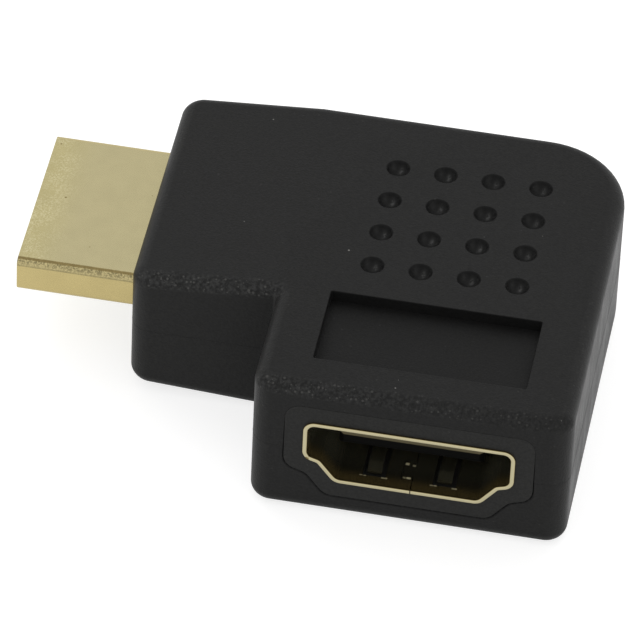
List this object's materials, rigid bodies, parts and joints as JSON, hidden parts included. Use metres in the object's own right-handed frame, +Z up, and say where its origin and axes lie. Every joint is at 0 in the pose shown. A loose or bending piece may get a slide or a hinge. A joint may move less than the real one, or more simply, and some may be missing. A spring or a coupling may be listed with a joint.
{
  "type": "right-angle video adapter",
  "caption": "Moulded black L-shaped adapter with a gold-plated digital video plug on one leg and a matching socket in the end of the other, at a right angle.",
  "frame": {"origin": "middle of the whole footprint, plug included, on the underside", "axes": "+X away from the plug's tip along the plug's axis, -Y out of the socket along its axis, +Z up through the broad faces, the connectors' wide faces up"},
  "size_m": [0.0408, 0.0296, 0.0113],
  "materials": {
    "outer_vinyl": "satin black soft vinyl, finely grained",
    "inner_polymer": "satin black hard polymer",
    "plug_plating": "pale gold plating over steel sheet, satin",
    "socket_plating": "pale gold plating over steel sheet, satin",
    "insulator": "matt black glass-filled polymer",
    "board": "green lacquered glass-fibre board",
    "contact_gold": "gold-plated copper alloy"
  },
  "bodies": {
    "root": {"overmould": "outer_vinyl", "inner_mould": "inner_polymer", "plug_shell": "plug_plating", "plug_insulator": "insulator", "socket_shell": "socket_plating", "socket_insulator": "insulator", "circuit_board": "board", "plug_contact_01": "contact_gold", "plug_contact_02": "contact_gold", "plug_contact_03": "contact_gold", "plug_contact_04": "contact_gold", "plug_contact_05": "contact_gold", "plug_contact_06": "contact_gold", "plug_contact_07": "contact_gold", "plug_contact_08": "contact_gold", "plug_contact_09": "contact_gold", "plug_contact_10": "contact_gold", "plug_contact_11": "contact_gold", "plug_contact_12": "contact_gold", "plug_contact_13": "contact_gold", "plug_contact_14": "contact_gold", "plug_contact_15": "contact_gold", "plug_contact_16": "contact_gold", "plug_contact_17": "contact_gold", "plug_contact_18": "contact_gold", "plug_contact_19": "contact_gold", "socket_contact_01": "contact_gold", "socket_contact_02": "contact_gold", "socket_contact_03": "contact_gold", "socket_contact_04": "contact_gold", "socket_contact_05": "contact_gold", "socket_contact_06": "contact_gold", "socket_contact_07": "contact_gold", "socket_contact_08": "contact_gold", "socket_contact_09": "contact_gold", "socket_contact_10": "contact_gold", "socket_contact_11": "contact_gold", "socket_contact_12": "contact_gold", "socket_contact_13": "contact_gold", "socket_contact_14": "contact_gold", "socket_contact_15": "contact_gold", "socket_contact_16": "contact_gold", "socket_contact_17": "contact_gold", "socket_contact_18": "contact_gold", "socket_contact_19": "contact_gold"}
  },
  "joints": []
}
